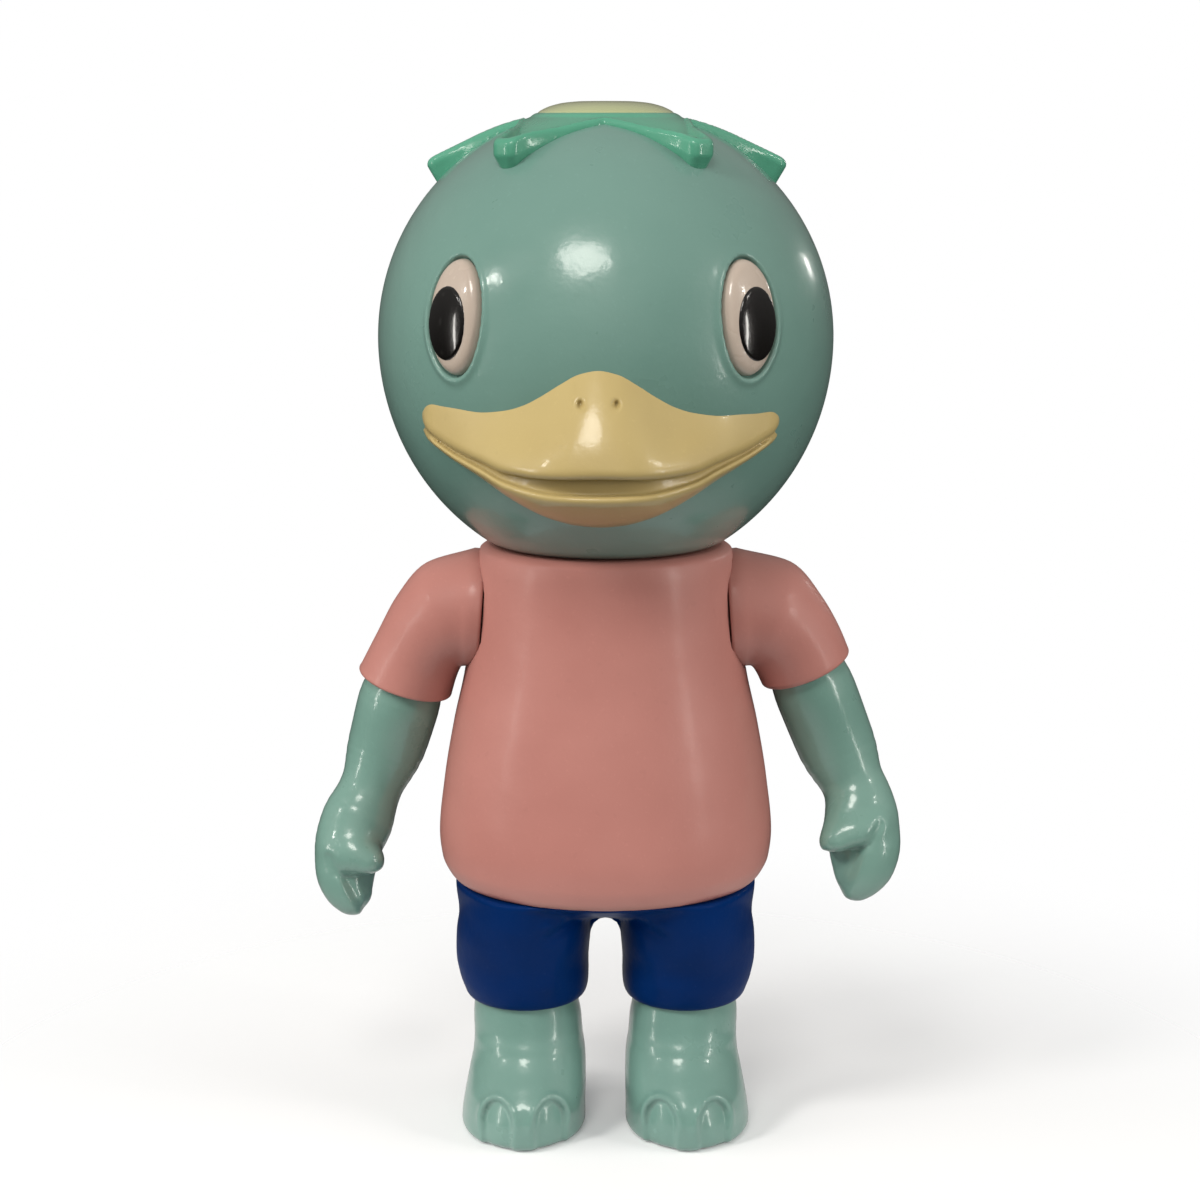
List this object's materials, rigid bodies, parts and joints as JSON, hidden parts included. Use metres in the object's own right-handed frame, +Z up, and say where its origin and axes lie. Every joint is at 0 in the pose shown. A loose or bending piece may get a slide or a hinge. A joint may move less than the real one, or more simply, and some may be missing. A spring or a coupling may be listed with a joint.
{
  "type": "vinyl art toy",
  "caption": "Glossy soft-vinyl figurine of a big-headed, duck-billed water imp in T-shirt and shorts, with turning head, arms, forearms, waist and legs.",
  "frame": {"origin": "centre of the bounding box's base, on the plane the soles stand on", "axes": "+Z up, the figure faces -Y, its left side is +X"},
  "size_m": [0.1392, 0.1135, 0.24],
  "materials": {
    "teal_vinyl": "glossy soft vinyl, faint orange peel",
    "mint_vinyl": "glossy soft vinyl, translucent mint green",
    "cream_vinyl": "glossy soft vinyl, pale yellow",
    "pink_vinyl": "glossy soft vinyl, dusty pink",
    "blue_vinyl": "satin soft vinyl, deep blue",
    "eye_white": "glossy off-white enamel",
    "pupil_black": "glossy black enamel",
    "plug_plastic": "natural moulded plastic"
  },
  "bodies": {
    "torso": {"torso_shell": "pink_vinyl", "neck_plug": "plug_plastic"},
    "head": {"head_shell": "teal_vinyl", "head_dish": "cream_vinyl", "leaf_crown": "mint_vinyl", "beak": "cream_vinyl", "left_eye": "eye_white", "right_eye": "eye_white", "left_pupil": "pupil_black", "right_pupil": "pupil_black"},
    "left_upper_arm": {"left_sleeve": "pink_vinyl", "left_shoulder_plug": "plug_plastic"},
    "right_upper_arm": {"right_sleeve": "pink_vinyl", "right_shoulder_plug": "plug_plastic"},
    "left_lower_arm": {"left_forearm": "teal_vinyl", "left_cuff_plug": "plug_plastic"},
    "right_lower_arm": {"right_forearm": "teal_vinyl", "right_cuff_plug": "plug_plastic"},
    "hips": {"shorts": "blue_vinyl", "waist_plug": "plug_plastic"},
    "left_lower_leg": {"left_leg": "teal_vinyl", "left_knee_plug": "plug_plastic"},
    "right_lower_leg": {"right_leg": "teal_vinyl", "right_knee_plug": "plug_plastic"}
  },
  "joints": [
    {"name": "neck_turn", "type": "hinge", "parent": "torso", "child": "head", "pos_m": [0, 0.0052, 0.14], "axis": [0, 0, 1], "continuous": true},
    {"name": "left_shoulder_swing", "type": "hinge", "parent": "torso", "child": "left_upper_arm", "pos_m": [0.03095, 0.0052, 0.1248], "axis": [-0.9971, 0, -0.0767], "range_deg": [-125, 125]},
    {"name": "right_shoulder_swing", "type": "hinge", "parent": "torso", "child": "right_upper_arm", "pos_m": [-0.03095, 0.0052, 0.1248], "axis": [-0.9971, 0, 0.0767], "range_deg": [-125, 125]},
    {"name": "left_forearm_turn", "type": "hinge", "parent": "left_upper_arm", "child": "left_lower_arm", "pos_m": [0.0467, 0.00672, 0.1103], "axis": [0.3872, 0.1045, -0.9161], "continuous": true},
    {"name": "right_forearm_turn", "type": "hinge", "parent": "right_upper_arm", "child": "right_lower_arm", "pos_m": [-0.0468, 0.00707, 0.1069], "axis": [-0.3061, 0.1045, -0.9462], "continuous": true},
    {"name": "waist_turn", "type": "hinge", "parent": "torso", "child": "hips", "pos_m": [0, 0.0052, 0.0602], "axis": [0, 0, 1], "continuous": true},
    {"name": "left_leg_turn", "type": "hinge", "parent": "hips", "child": "left_lower_leg", "pos_m": [0.0189, 0.0052, 0.0307], "axis": [0, 0, 1], "range_deg": [-22, 90]},
    {"name": "right_leg_turn", "type": "hinge", "parent": "hips", "child": "right_lower_leg", "pos_m": [-0.0189, 0.0052, 0.0307], "axis": [0, 0, -1], "range_deg": [-22, 90]}
  ]
}
